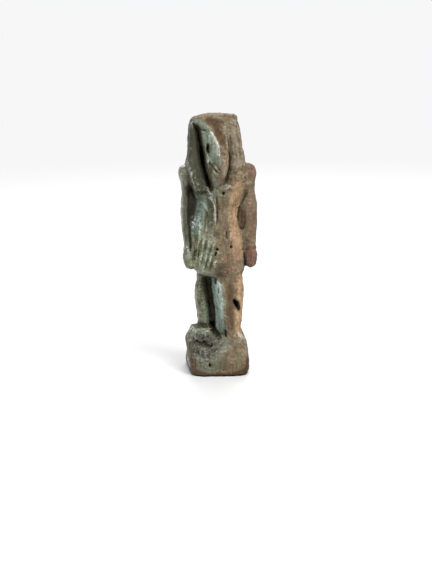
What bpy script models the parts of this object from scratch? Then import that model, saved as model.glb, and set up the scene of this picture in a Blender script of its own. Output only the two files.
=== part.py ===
"""Ibis-headed amulet of moulded faience: the figure, its back pillar and its low base in one body.

Metres, +Z up. The origin is on the base's underside, under the middle of the figure. The figure
faces -Y, so +X is its left, the side of the leg it puts forward. Every size below is in
millimetres and becomes metres where a vertex is made.

The body is made in four steps: closed lofts for the masses, a voxel remesh that fuses them, tool
strokes, pits and worn patches pressed into the surface, and last the flat underside, the flat back
of the pillar and the cord hole.
"""
import math

import bmesh
import bpy
import numpy as np
from mathutils import Matrix, Vector, noise

MM = 0.001
NAME = "ibis_amulet"

# Overall sizes
BASE_HALF_WIDTH = 4.6
BASE_FRONT = 5.8
BASE_BACK = 5.2
BASE_HEIGHT = 2.9
BASE_SKEW = 0.45  # how much further forward the base's left front corner stands than its middle
SKEW_TOP = 5.5
PILLAR_HALF_WIDTH = 1.8
PILLAR_FRONT = 2.4
PILLAR_BACK = 4.9
PILLAR_EXCESS = 0.3
PILLAR_FOOT = 3.5
PILLAR_TOP = 35.0
HEM_HEIGHT = 14.6
BELT_HEIGHT = 22.4
SHOULDER_HEIGHT = 30.2
WIG_TOP = 39.15
CROWN_FOOT = 37.0
CROWN_DROP_RIGHT, CROWN_DROP_LEFT = 0.055, 0.02  # how much lower the top lies a millimetre from the middle

# Cord hole, from side to side through the pillar behind the neck
HOLE_RADIUS = 0.55
HOLE_Y = 4.05
HOLE_Z = 31.2
HOLE_SIDES = 20

# How far the cutters reach past the body
CUTTER_REACH = 3.0

# Mesh fineness
RING_STEP = 0.4
RING_SIDES = 40
CAP_STEPS = 4
PATH_STEPS = 6
VOXEL = 0.15
SMOOTH_PASSES = 5
FINISH_PASSES = 2
TRIANGLES = 9700

# A row is a section of a mass: height, left, right, front, back. Where the front is narrower than
# the back, two more values say where its corners are: front_left and front_right.
BASE = (
    (-0.25, -4.5, 4.4, -5.7, 5.1),
    (0.5, -BASE_HALF_WIDTH, 4.5, -BASE_FRONT, BASE_BACK),
    (2.0, -BASE_HALF_WIDTH, BASE_HALF_WIDTH, -BASE_FRONT, BASE_BACK),
    (BASE_HEIGHT, -4.5, 4.5, -5.6, 5.1),
)
FEET_MOUND = (
    (2.0, -4.6, 4.5, -5.7, 4.4),
    (3.4, -4.4, 4.6, -5.1, 3.9),
    (4.4, -4.0, 4.5, -4.1, 3.5),
    (5.5, -3.2, 4.1, -2.3, 3.3),
)
FRONT_FOOT = (
    (2.2, 1.0, 4.4, -5.6, 1.0),
    (3.3, 1.1, 4.5, -5.2, 1.0),
    (4.1, 1.3, 4.4, -4.6, 0.9),
    (5.0, 1.4, 4.2, -3.8, 0.8),
    (6.4, 1.4, 3.8, -3.1, 0.7),
)
BROKEN_FOOT = (
    (2.2, -4.5, 0.0, -5.3, 2.4),
    (3.4, -4.7, 0.0, -4.4, 2.2),
    (4.4, -4.8, 0.0, -2.9, 2.0),
    (5.2, -4.8, -0.1, -2.3, 2.0),
    (6.0, -4.3, -0.4, -2.0, 1.8),
    (6.8, -4.0, -0.9, -1.2, 1.6),
)
REAR_LEG = (
    (2.6, -2.9, -0.9, 0.2, 3.2),
    (7.0, -2.75, -0.95, 0.4, 3.3),
    (9.0, -2.85, -0.95, 0.4, 3.4),
    (11.7, -3.1, -1.0, 0.3, 3.5),
    (14.0, -2.72, -1.35, 0.3, 3.4),
    (16.0, -2.8, -1.2, 0.2, 3.3),
)
FRONT_LEG = (
    (3.0, 0.3, 4.0, -3.4, 0.9, 1.2, 3.8),
    (6.0, 0.25, 3.65, -3.1, 0.9, 1.15, 3.4),
    (7.5, 0.07, 3.9, -2.85, 0.9, 0.95, 3.5),
    (10.8, -0.4, 4.3, -2.5, 0.8, 0.5, 3.9),
    (12.0, -0.5, 4.5, -2.4, 0.8, 0.4, 4.0),
    (14.0, -0.7, 4.2, -2.1, 0.7, 0.25, 3.8),
    (16.5, -0.8, 4.3, -2.0, 0.7, 0.2, 3.8),
)
LEG_WEB = (
    (2.6, 0.0, 3.0, 0.2, 3.2),
    (7.5, 0.0, 3.0, 0.2, 3.2),
    (14.0, -0.6, 3.1, 0.2, 3.2),
    (16.0, -0.7, 3.2, 0.2, 3.2),
)
KILT = (
    (HEM_HEIGHT, -2.6, 4.0, -1.9, 3.0, -2.4, 3.8),
    (15.5, -3.6, 4.6, -2.1, 3.1, -3.0, 4.2),
    (17.0, -4.0, 4.8, -2.15, 3.2, -3.2, 4.3),
    (19.0, -3.9, 4.6, -2.1, 3.1, -3.1, 4.1),
    (21.0, -3.8, 4.4, -1.95, 3.0, -3.0, 3.9),
    (BELT_HEIGHT + 0.4, -3.6, 4.2, -1.8, 3.0, -2.8, 3.7),
)
TORSO = (
    (20.0, -3.6, 4.2, -1.6, 2.9, -2.6, 3.8),
    (BELT_HEIGHT, -3.9, 4.1, -1.75, 2.9, -2.4, 3.7),
    (24.0, -3.8, 3.6, -1.7, 2.8, -1.8, 3.2),
    (25.3, -3.2, 3.4, -1.8, 2.7, -1.4, 3.0),
    (27.0, -3.8, 4.3, -2.0, 2.8, -2.2, 3.8),
    (28.6, -4.4, 5.3, -1.9, 2.9, -3.1, 4.8),
    (SHOULDER_HEIGHT, -4.6, 5.8, -1.7, 2.9, -3.9, 5.2),
    (31.5, -4.3, 5.3, -1.2, 2.7, -3.9, 4.8),
)
RIGHT_ARM = (
    (15.7, -4.6, -3.2, -1.4, 1.0),
    (17.5, -5.05, -3.4, -1.6, 1.2),
    (19.3, -4.8, -3.6, -1.3, 1.4),
    (22.0, -5.1, -4.0, -1.0, 1.8),
    (24.5, -5.2, -4.1, -0.9, 2.0),
    (27.6, -5.0, -3.9, -0.8, 2.2),
    (29.0, -5.2, -3.6, -0.9, 2.3),
    (SHOULDER_HEIGHT, -5.45, -3.6, -0.9, 2.3),
    (31.5, -5.15, -3.6, -0.6, 2.1),
)
LEFT_ARM = (
    (15.8, 4.6, 6.05, -1.5, 1.0),
    (17.6, 4.5, 6.35, -1.6, 1.2),
    (19.0, 4.6, 6.2, -1.2, 1.4),
    (22.0, 4.5, 6.4, -1.0, 1.8),
    (24.2, 4.4, 6.5, -0.9, 2.0),
    (26.0, 4.3, 6.35, -0.9, 2.1),
    (28.4, 4.3, 6.1, -0.9, 2.2),
    (SHOULDER_HEIGHT, 4.2, 6.45, -0.9, 2.3),
    (31.6, 4.4, 6.0, -0.4, 2.1),
)
# Behind each arm a thin wall closes the gap to the body
RIGHT_RECESS_FLOOR = (
    (16.5, -4.5, -2.0, -0.4, 2.6),
    (20.5, -4.5, -2.0, -0.3, 2.6),
    (22.5, -4.5, -2.0, 0.3, 2.6),
    (24.5, -4.6, -2.0, 1.2, 2.6),
    (30.0, -4.6, -2.0, 1.2, 2.6),
)
LEFT_RECESS_FLOOR = (
    (16.5, 3.0, 5.6, -0.6, 2.6),
    (30.0, 3.0, 5.6, -0.6, 2.6),
)
WIG = (
    (28.6, -3.2, 3.6, 0.8, 3.1),
    (31.6, -4.3, 4.9, 0.2, 3.3),
    (32.6, -4.1, 4.4, 0.0, 3.4),
    (34.0, -3.95, 4.1, -0.1, 3.4),
    (36.0, -3.8, 3.78, -0.4, 3.3),
    (37.6, -3.7, 3.64, -1.4, 3.2),
    (38.5, -3.6, 3.62, -1.8, 3.15),
    (WIG_TOP, -3.5, 3.6, -1.9, 3.0),
)
RIGHT_LAPPET = (
    (27.6, -3.0, -0.9, -2.2, 0.6),
    (28.6, -3.4, -1.1, -2.2, 0.6),
    (30.2, -3.85, -1.65, -2.1, 0.6),
    (32.0, -4.2, -2.15, -2.0, 0.6),
    (34.0, -3.95, -2.25, -1.9, 0.6),
    (36.8, -3.75, -2.65, -1.9, 0.6),
    (38.4, -3.6, -3.1, -1.9, 0.6),
)
LEFT_LAPPET = (
    (27.8, 1.3, 3.4, -2.2, 0.6),
    (29.0, 1.5, 4.0, -2.4, 0.6),
    (31.0, 1.9, 4.6, -2.5, 0.6),
    (33.0, 1.9, 4.3, -2.6, 0.6),
    (35.0, 1.7, 3.92, -2.8, 0.6),
    (36.8, 1.4, 3.7, -2.85, 0.6),
    (38.4, 1.4, 3.45, -2.3, 0.6),
)
HEAD = (
    (28.4, -0.5, 0.5, -2.6, 0.6),
    (29.1, -0.9, 0.9, -2.6, 0.6),
    (30.0, -1.15, 1.4, -2.6, 0.6),
    (31.0, -1.35, 1.6, -2.6, 0.6),
    (32.5, -1.55, 1.7, -2.6, 0.6),
    (34.3, -1.9, 1.65, -2.6, 0.6),
    (35.4, -2.25, 1.65, -2.6, 0.6),
    (36.8, -2.4, 1.65, -2.6, 0.6),
    (38.3, -3.0, 1.65, -2.4, 0.6),
)
BEAK = (
    (28.2, -0.5, 0.6, -3.6, -2.0, -0.4, 0.5),
    (29.1, -0.9, 1.0, -4.0, -2.0, -0.7, 0.9),
    (30.0, -1.15, 1.4, -4.3, -2.0, -0.8, 1.3),
    (31.4, -1.4, 1.8, -4.5, -2.1, -0.5, 1.6),
    (32.6, -1.6, 1.8, -4.5, -2.2, 0.25, 1.7),
    (34.2, -1.9, 1.75, -4.25, -2.3, 0.2, 1.7),
    (35.4, -2.2, 1.75, -3.85, -2.3, -0.35, 1.7),
    (36.8, -2.4, 1.75, -3.3, -2.2, -1.1, 1.7),
    (38.3, -2.9, 1.75, -2.6, -2.0, -2.0, 1.7),
)

# A stroke is the path of a tool over the surface, in the plane it is pressed through: across and
# up for one from the front, depth and up for one from a side. Then come its width, from middle to
# edge, and its depth, which is negative where it raises a ridge.
FRONT_STROKES = {
    "shoulder edge": (((-4.3, 32.1), (-3.8, 30.2), (-3.4, 28.3), (-2.9, 27.3), (-2.6, 26.9)), 0.32, -0.25),
    "sash edge": (((-2.6, 26.9), (-1.7, 25.7), (-1.2, 24.6), (-1.4, 22.6), (-1.7, 21.2)), 0.4, -0.3),
    "flank": (((-2.2, 25.0), (-2.5, 23.6), (-2.7, 22.4)), 0.7, 0.15),
    "right lappet foot": (((-3.3, 27.5), (-2.4, 27.3), (-1.2, 27.6)), 0.35, 0.3),
    "left lappet foot": (((1.5, 27.8), (2.6, 27.5), (3.8, 28.2)), 0.5, 0.12),
    "breast ridge": (((-1.3, 27.9), (-0.8, 26.7), (-0.3, 25.2), (-0.2, 23.7), (-0.1, 22.8)), 0.35, -0.28),
    "breast crease": (((-0.3, 27.2), (0.15, 25.7), (0.15, 24.1), (0.25, 22.8)), 0.32, 0.35),
    "left armpit": (((4.8, 27.7), (4.3, 26.8), (3.8, 25.9), (3.6, 25.2)), 0.32, 0.32),
    "left hollow": (((3.85, 25.0), (3.8, 23.2), (3.9, 22.2), (3.5, 21.7)), 0.36, 0.32),
    "left hand edge": (((4.2, 18.2), (4.35, 17.2), (4.5, 15.8)), 0.3, 0.5),
    "right hand edge": (((-3.8, 20.6), (-3.85, 19.4), (-3.8, 18.4)), 0.3, 0.3),
    "tab left": (((-0.4, 22.1), (-0.35, 20.8)), 0.32, 0.18),
    "tab right": (((1.5, 21.8), (1.55, 20.5)), 0.32, 0.18),
    "beak crease": (((-1.1, 32.0), (-0.6, 31.4), (-0.1, 30.9)), 0.36, 0.18),
    "face left edge": (((-3.2, 37.9), (-2.6, 36.8), (-2.4, 35.4), (-2.1, 34.2)), 0.3, 0.7),
    "beak left edge": (((-2.1, 34.2), (-1.9, 32.6), (-1.6, 31.0), (-1.1, 29.3), (-0.7, 28.0)), 0.42, 1.5),
    "beak right edge": (((1.8, 35.3), (1.8, 33.9), (1.95, 32.4), (1.85, 31.0), (1.5, 29.7)), 0.3, 0.42),
    "beak tip edge": (((1.5, 29.7), (0.9, 28.8), (0.0, 28.2)), 0.35, 0.6),
    "shin line": (((1.9, 14.0), (1.85, 11.0), (1.85, 8.8), (2.0, 6.4)), 0.4, 0.12),
    "foot crevice": (((-3.4, 4.9), (-2.4, 4.6), (-1.5, 4.9)), 0.4, 0.6),
}
# The kilt's pleats, fanned across its right half: the tops and feet of the grooves
PLEAT_TOPS = ((-3.0, 20.8), (-2.3, 20.6), (-1.45, 20.4), (-0.75, 19.6), (-0.05, 18.8))
PLEAT_FEET = ((-3.5, 17.0), (-3.05, 16.4), (-2.45, 16.1), (-1.85, 15.8), (-1.25, 15.6))
PLEAT_WIDTH = 0.34
PLEAT_DEPTH = 0.22
RIDGE_DEPTH = -0.12
# Pits left by burst bubbles and by dirt in the mould: across, up, half width, half height, tilt, depth
FRONT_PITS = (
    (2.9, 10.25, 0.5, 1.15, 24.0, 1.0),
    (-0.45, 6.0, 0.75, 0.6, -35.0, 1.2),
    (1.1, 27.3, 0.3, 0.35, 0.0, 0.6),
    (2.2, 19.2, 0.25, 0.35, 0.0, 0.5),
    (0.1, 18.9, 0.25, 0.25, 0.0, 0.4),
    (-1.7, 1.78, 0.3, 0.35, 0.0, 0.5),
)
RIGHT_EYE = (-1.25, 34.2, 0.3, 0.85, -8.0, 0.6)
LEFT_EYE = (-3.4, 34.2, 0.4, 0.6, 0.0, 0.4)
BEAK_GAPE = (((-3.4, 33.3), (-3.9, 31.8), (-3.9, 30.4), (-3.6, 29.3)), 0.22, 0.15)

# The broken patch over the rear foot: middle, half sizes, coarseness and height of its lumps
BREAK_MIDDLE = (-2.3, -3.0, 4.9)
BREAK_HALF_SIZE = (3.3, 3.6, 3.0)
BREAK_GRAIN = 1.7
BREAK_HEIGHT = 0.45
BREAK_SEED = 3

# The slight unevenness of a small thing pressed by hand
WEAR_GRAIN = 3.0
WEAR_HEIGHT = 0.06
WEAR_SEED = 5

# How the tools meet the surface
FACING_GAIN = 1.6  # above 1, a surface turned a little away from the tool takes its full depth too
STROKE_END = 0.5  # the share of its depth that a stroke has at its ends
STROKE_RISE = 5.0  # how quickly a stroke reaches its full depth from its ends
PIT_RIM = 1.25  # above 1, a pit has a flat floor
NOISE_ROUGHNESS, NOISE_SPREAD, NOISE_OCTAVES = 0.8, 2.0, 3
SEED_SHIFT = (7.3, 3.1, 5.7)


def clear_scene():
    for item in list(bpy.data.objects):
        bpy.data.objects.remove(item, do_unlink=True)


def new_collection(name):
    collection = bpy.data.collections.new(name)
    bpy.context.scene.collection.children.link(collection)
    return collection


def smooth_rows(rows, heights):
    """The rows read at the given heights, on a smooth curve through them."""
    table = np.array(rows, dtype=float)
    given = table[:, 0]
    slopes = np.gradient(table, given, axis=0)
    low = np.clip(np.searchsorted(given, heights, side="right") - 1, 0, len(given) - 2)
    span = (given[low + 1] - given[low])[:, None]
    t = (heights - given[low])[:, None] / span
    start = (1 + 2 * t) * (1 - t) ** 2 * table[low] + t * (1 - t) ** 2 * span * slopes[low]
    end = t ** 2 * (3 - 2 * t) * table[low + 1] + t ** 2 * (t - 1) * span * slopes[low + 1]
    return start + end


def ring_heights(bottom, top, rounding):
    """Even heights, and closer ones where the two ends are rounded."""
    count = max(2, round((top - bottom) / RING_STEP))
    heights = set(np.linspace(bottom, top, count + 1))
    for step in range(1, CAP_STEPS + 1):
        rise = rounding * (1 - math.cos(math.pi / 2 * step / CAP_STEPS))
        heights.update((bottom + rise, top - rise))
    return np.array(sorted(heights))


def end_inset(distance, rounding):
    """How far a section draws in at this distance from a rounded end."""
    reach = max(rounding - distance, 0.0)
    return rounding - math.sqrt(rounding ** 2 - reach ** 2)


def blunt(value, squareness):
    """A sine or cosine flattened so that the ring becomes a rounded box."""
    return math.copysign(abs(value) ** (2 / squareness), value)


def add_loft(bm, rows, squareness=4.0, rounding=0.4):
    """A closed mass through the rows, each section a rounded box, with rounded ends."""
    bottom, top = rows[0][0], rows[-1][0]
    heights = ring_heights(bottom, top, rounding)
    rings = []
    for height, row in zip(heights, smooth_rows(rows, heights)):
        left, right, front, back = row[1:5]
        front_left, front_right = row[5:7] if len(row) > 5 else (left, right)
        inset = end_inset(min(height - bottom, top - height), rounding)
        ring = []
        for side in range(RING_SIDES):
            angle = 2 * math.pi * side / RING_SIDES
            across = blunt(math.cos(angle), squareness)
            along = blunt(math.sin(angle), squareness)
            forward = (1 - along) / 2
            low_x = left + (front_left - left) * forward + inset
            high_x = right + (front_right - right) * forward - inset
            x = (low_x + high_x) / 2 + across * (high_x - low_x) / 2
            y = (front + back) / 2 + along * (back - front - 2 * inset) / 2
            ring.append(bm.verts.new((x * MM, y * MM, height * MM)))
        rings.append(ring)
    for lower, upper in zip(rings, rings[1:]):
        for side in range(RING_SIDES):
            after = (side + 1) % RING_SIDES
            bm.faces.new((lower[side], lower[after], upper[after], upper[side]))
    bm.faces.new(reversed(rings[0]))
    bm.faces.new(rings[-1])


def add_pillar(bm):
    """The back pillar, a little too thick, so that its back is cut flat later."""
    sides = (-PILLAR_HALF_WIDTH, PILLAR_HALF_WIDTH, PILLAR_FRONT, PILLAR_BACK + PILLAR_EXCESS)
    add_loft(bm, ((BASE_HEIGHT / 2, *sides), (PILLAR_TOP, *sides)), squareness=8.0, rounding=0.5)


def add_base_and_feet(bm):
    add_loft(bm, BASE, squareness=5.0, rounding=0.45)
    add_loft(bm, FEET_MOUND, squareness=4.0, rounding=0.5)
    add_loft(bm, FRONT_FOOT, squareness=3.0, rounding=0.5)
    add_loft(bm, BROKEN_FOOT, squareness=4.0, rounding=0.4)


def add_legs(bm):
    add_loft(bm, REAR_LEG, squareness=3.0)
    add_loft(bm, FRONT_LEG, squareness=4.0)
    add_loft(bm, LEG_WEB, squareness=6.0)


def add_body(bm):
    add_loft(bm, KILT, squareness=4.0)
    add_loft(bm, TORSO, squareness=4.0, rounding=0.7)
    add_loft(bm, RIGHT_ARM, squareness=2.6, rounding=0.6)
    add_loft(bm, LEFT_ARM, squareness=3.0, rounding=0.6)
    add_loft(bm, RIGHT_RECESS_FLOOR, squareness=6.0)
    add_loft(bm, LEFT_RECESS_FLOOR, squareness=6.0)


def add_head(bm):
    add_loft(bm, WIG, squareness=3.0, rounding=0.5)
    add_loft(bm, RIGHT_LAPPET, squareness=5.0, rounding=0.3)
    add_loft(bm, LEFT_LAPPET, squareness=5.0, rounding=0.3)
    add_loft(bm, HEAD, squareness=5.0, rounding=0.4)
    add_loft(bm, BEAK, squareness=7.0, rounding=0.5)


def fused_masses(collection):
    """All the masses in one closed skin."""
    bm = bmesh.new()
    add_pillar(bm)
    add_base_and_feet(bm)
    add_legs(bm)
    add_body(bm)
    add_head(bm)
    mesh = bpy.data.meshes.new(NAME)
    bm.to_mesh(mesh)
    bm.free()
    body = bpy.data.objects.new(NAME, mesh)
    collection.objects.link(body)
    remesh = body.modifiers.new("Fuse", "REMESH")
    remesh.mode = "VOXEL"
    remesh.voxel_size = VOXEL * MM
    add_smoothing(body, SMOOTH_PASSES)
    apply_modifiers(body)
    return body


def apply_modifiers(body):
    """Makes the modified shape the object's own mesh."""
    graph = bpy.context.evaluated_depsgraph_get()
    mesh = bpy.data.meshes.new_from_object(body.evaluated_get(graph))
    body.modifiers.clear()
    old = body.data
    body.data = mesh
    bpy.data.meshes.remove(old)
    mesh.name = NAME


def add_smoothing(body, passes):
    soften = body.modifiers.new("Soften", "SMOOTH")
    soften.factor = 0.5
    soften.iterations = passes


class Surface:
    """The skin's points and normals in millimetres, for the tools that shape it."""

    def __init__(self, mesh):
        count = len(mesh.vertices)
        self.mesh = mesh
        self.points = np.empty(count * 3, dtype=np.float32)
        mesh.vertices.foreach_get("co", self.points)
        self.points = self.points.reshape(-1, 3).astype(float) / MM
        self.read_normals()

    def read_normals(self):
        normals = np.empty(len(self.points) * 3, dtype=np.float32)
        self.mesh.vertex_normals.foreach_get("vector", normals)
        self.normals = normals.reshape(-1, 3).astype(float)

    def write(self):
        self.mesh.vertices.foreach_set("co", (self.points * MM).astype(np.float32).ravel())
        self.mesh.update()
        self.read_normals()


def press_axes(direction):
    """The two axes that a tool pressed in this direction sees, and the direction as a vector."""
    axis = {"x": 0, "y": 1}[direction[-1]]
    push = np.zeros(3)
    push[axis] = -1.0 if direction[0] == "-" else 1.0
    return (0, 2) if axis == 1 else (1, 2), push


def facing(surface, push):
    """1 where the surface faces the tool, falling to 0 where it turns away."""
    return np.clip(-surface.normals @ push * FACING_GAIN, 0.0, 1.0)


def smooth_path(path):
    """More points on a smooth curve through the path's own."""
    if len(path) < 3:
        return np.array(path, dtype=float)
    table = tuple((float(index), *point) for index, point in enumerate(path))
    places = np.linspace(0, len(path) - 1, PATH_STEPS * (len(path) - 1) + 1)
    return smooth_rows(table, places)[:, 1:]


def path_distance(flat, path):
    """Each point's distance to the path, and how far along it the nearest place is, 0 to 1."""
    nearest = np.full(len(flat), np.inf)
    along = np.zeros(len(flat))
    spans = path[1:] - path[:-1]
    lengths = np.linalg.norm(spans, axis=1)
    done = 0.0
    for start, span, length in zip(path, spans, lengths):
        t = np.clip((flat - start) @ span / length ** 2, 0.0, 1.0)
        distance = np.linalg.norm(flat - start - t[:, None] * span, axis=1)
        closer = distance < nearest
        nearest[closer] = distance[closer]
        along[closer] = (done + t[closer] * length) / lengths.sum()
        done += length
    return nearest, along


def press_stroke(surface, stroke, direction="+y"):
    """Presses a rounded channel along a path, shallower towards its two ends."""
    path, width, depth = stroke
    axes, push = press_axes(direction)
    distance, along = path_distance(surface.points[:, axes], smooth_path(path))
    channel = np.cos(np.clip(distance / width, 0.0, 1.0) * math.pi / 2) ** 2
    ends = np.clip(np.minimum(along, 1 - along) * STROKE_RISE + STROKE_END, 0.0, 1.0)
    surface.points += (depth * channel * ends * facing(surface, push))[:, None] * push


def press_pit(surface, pit, direction="+y"):
    """Presses an oval hollow: across, up, half width, half height, tilt in degrees, depth."""
    across, up, half_width, half_height, tilt, depth = pit
    axes, push = press_axes(direction)
    offset = surface.points[:, axes] - (across, up)
    turn = math.radians(tilt)
    u = offset[:, 0] * math.cos(turn) + offset[:, 1] * math.sin(turn)
    v = -offset[:, 0] * math.sin(turn) + offset[:, 1] * math.cos(turn)
    distance = np.hypot(u / half_width, v / half_height)
    hollow = np.clip(PIT_RIM * (1 - distance ** 2), 0.0, 1.0)
    surface.points += (depth * hollow * facing(surface, push))[:, None] * push


def lumps(surface, grain, seed):
    """Smooth noise over the surface, about -1 to 1."""
    shift = seed * Vector(SEED_SHIFT)
    settings = (NOISE_ROUGHNESS, NOISE_SPREAD, NOISE_OCTAVES)
    return np.array([noise.fractal(Vector(point) / grain + shift, *settings) for point in surface.points])


def press_pleats(surface):
    """The grooves of the kilt's pleats, and a low ridge to the right of each."""
    for top, foot in zip(PLEAT_TOPS, PLEAT_FEET):
        press_stroke(surface, ((top, foot), PLEAT_WIDTH, PLEAT_DEPTH))
        ridge = tuple((across + PLEAT_WIDTH, up) for across, up in (top, foot))
        press_stroke(surface, (ridge, PLEAT_WIDTH, RIDGE_DEPTH))


def round_crown(surface):
    """Lets the wig's top fall away towards both sides, more towards the figure's right."""
    across = surface.points[:, 0]
    share = np.clip((surface.points[:, 2] - CROWN_FOOT) / (WIG_TOP - CROWN_FOOT), 0.0, 1.0)
    drop = np.where(across < 0, CROWN_DROP_RIGHT, CROWN_DROP_LEFT)
    surface.points[:, 2] -= drop * share * across ** 2


def skew_base(surface):
    """Brings the base's front forward on the side of the leading foot."""
    across, depth, height = surface.points.T
    forward = np.clip(-depth / BASE_FRONT, 0.0, 1.0)
    low = np.clip((SKEW_TOP - height) / (SKEW_TOP - BASE_HEIGHT), 0.0, 1.0)
    surface.points[:, 1] -= BASE_SKEW * across / BASE_HALF_WIDTH * forward * low


def press_break(surface):
    """Roughens the broken patch over the rear foot."""
    offset = (surface.points - BREAK_MIDDLE) / BREAK_HALF_SIZE
    share = np.clip(1.0 - np.linalg.norm(offset, axis=1) ** 2, 0.0, 1.0)
    height = BREAK_HEIGHT * share * lumps(surface, BREAK_GRAIN, BREAK_SEED)
    surface.points += height[:, None] * surface.normals


def press_wear(surface):
    """Makes the whole surface slightly uneven."""
    height = WEAR_HEIGHT * lumps(surface, WEAR_GRAIN, WEAR_SEED)
    surface.points += height[:, None] * surface.normals


def shape_surface(body):
    """All the tool work on the fused skin."""
    surface = Surface(body.data)
    round_crown(surface)
    skew_base(surface)
    surface.write()
    press_wear(surface)
    surface.write()
    press_break(surface)
    surface.write()
    for stroke in FRONT_STROKES.values():
        press_stroke(surface, stroke)
    press_pleats(surface)
    for pit in (*FRONT_PITS, RIGHT_EYE):
        press_pit(surface, pit)
    press_pit(surface, LEFT_EYE, "-x")
    press_stroke(surface, BEAK_GAPE, "-x")
    surface.write()


def thin_out(body):
    """Fewer triangles where the surface is plain."""
    count = sum(len(face.vertices) - 2 for face in body.data.polygons)
    add_smoothing(body, FINISH_PASSES)
    decimate = body.modifiers.new("Thin out", "DECIMATE")
    decimate.ratio = min(1.0, TRIANGLES / count)
    apply_modifiers(body)


def add_cutter(name, mesh_maker, collection):
    """A hidden object that a Boolean takes away from the body."""
    bm = bmesh.new()
    mesh_maker(bm)
    mesh = bpy.data.meshes.new(name)
    bm.to_mesh(mesh)
    bm.free()
    cutter = bpy.data.objects.new(name, mesh)
    cutter.hide_render = True
    cutter.display_type = "WIRE"
    collection.objects.link(cutter)
    return cutter


def add_box(bm, low, high):
    low, high = Vector(low) * MM, Vector(high) * MM
    matrix = Matrix.Translation((low + high) / 2) @ Matrix.Diagonal((*(high - low), 1.0))
    bmesh.ops.create_cube(bm, size=1.0, matrix=matrix)


def ground_block(bm):
    side = BASE_FRONT + CUTTER_REACH
    add_box(bm, (-side, -side, -CUTTER_REACH), (side, side, 0))


def rear_block(bm):
    side = BASE_FRONT + CUTTER_REACH
    add_box(bm, (-side, PILLAR_BACK, PILLAR_FOOT), (side, side, WIG_TOP + CUTTER_REACH))


def cord_rod(bm):
    turn = Matrix.Rotation(math.pi / 2, 4, "Y")
    place = Matrix.Translation(Vector((0, HOLE_Y, HOLE_Z)) * MM)
    bmesh.ops.create_cone(
        bm, cap_ends=True, segments=HOLE_SIDES, radius1=HOLE_RADIUS * MM, radius2=HOLE_RADIUS * MM,
        depth=2 * (BASE_HALF_WIDTH + CUTTER_REACH) * MM, matrix=place @ turn,
    )


def cut_flats_and_hole(body, collection):
    """The flat underside, the flat back of the pillar and the cord hole."""
    for name, mesh_maker in (
        ("underside cutter", ground_block),
        ("pillar back cutter", rear_block),
        ("cord hole cutter", cord_rod),
    ):
        cut = body.modifiers.new(name, "BOOLEAN")
        cut.operation = "DIFFERENCE"
        cut.object = add_cutter(name, mesh_maker, collection)


def faience():
    """Worn blue-green glaze over a tan body."""
    material = bpy.data.materials.new("faience")
    material.use_nodes = True
    shader = material.node_tree.nodes["Principled BSDF"]
    shader.inputs["Base Color"].default_value = (0.19, 0.17, 0.11, 1.0)
    shader.inputs["Roughness"].default_value = 0.5
    shader.inputs["Metallic"].default_value = 0.0
    return material


def main():
    clear_scene()
    body = fused_masses(new_collection("ibis amulet"))
    shape_surface(body)
    thin_out(body)
    cut_flats_and_hole(body, new_collection("cutters"))
    body.data.materials.clear()
    body.data.materials.append(faience())


main()
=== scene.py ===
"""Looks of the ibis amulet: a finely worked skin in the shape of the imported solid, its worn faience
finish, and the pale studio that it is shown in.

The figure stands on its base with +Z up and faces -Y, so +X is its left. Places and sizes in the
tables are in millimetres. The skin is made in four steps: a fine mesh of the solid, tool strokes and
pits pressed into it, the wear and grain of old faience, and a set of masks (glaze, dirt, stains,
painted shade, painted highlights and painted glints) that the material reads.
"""
import math

import bmesh
import bpy
import numpy as np
from mathutils import Matrix, Vector, noise


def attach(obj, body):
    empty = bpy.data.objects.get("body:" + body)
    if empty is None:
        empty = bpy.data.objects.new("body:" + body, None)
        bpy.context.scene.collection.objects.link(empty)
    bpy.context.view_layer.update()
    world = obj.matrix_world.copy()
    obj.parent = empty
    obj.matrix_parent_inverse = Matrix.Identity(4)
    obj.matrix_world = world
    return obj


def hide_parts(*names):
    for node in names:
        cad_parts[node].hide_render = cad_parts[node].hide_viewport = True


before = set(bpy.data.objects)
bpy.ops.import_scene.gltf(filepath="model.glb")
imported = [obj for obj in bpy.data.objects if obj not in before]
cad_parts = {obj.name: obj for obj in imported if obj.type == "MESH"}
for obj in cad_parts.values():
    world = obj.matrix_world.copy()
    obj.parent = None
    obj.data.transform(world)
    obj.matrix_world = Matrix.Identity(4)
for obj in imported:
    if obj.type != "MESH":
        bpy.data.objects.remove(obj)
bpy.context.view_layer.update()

MM = 0.001
NODE = "ibis_amulet"
PIECE = "amulet_skin"

# The pillar: the depth of its flat back, and the height that it is flat from
PILLAR_BACK = 4.9
PILLAR_FOOT = 3.7

# The skin's mesh: how near points are welded, the size of a voxel, and how it is smoothed
WELD = 0.002
VOXEL = 0.139
SOFTEN_SHARE, SOFTEN_PASSES = 0.5, 5

# Paths that are both pressed and coloured
SHOULDER_EDGE = ((-4.2, 32.05), (-3.9, 30.7), (-3.5, 28.9), (-2.9, 27.4))
LEFT_ARMPIT = ((4.85, 27.3), (4.25, 26.1), (3.7, 25.1))
STRIP_SLIT_ABOVE = ((-0.16, 14.1), (-0.17, 13.4))
STRIP_SLIT = ((0.2, 12.8), (0.19, 12.0))

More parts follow.
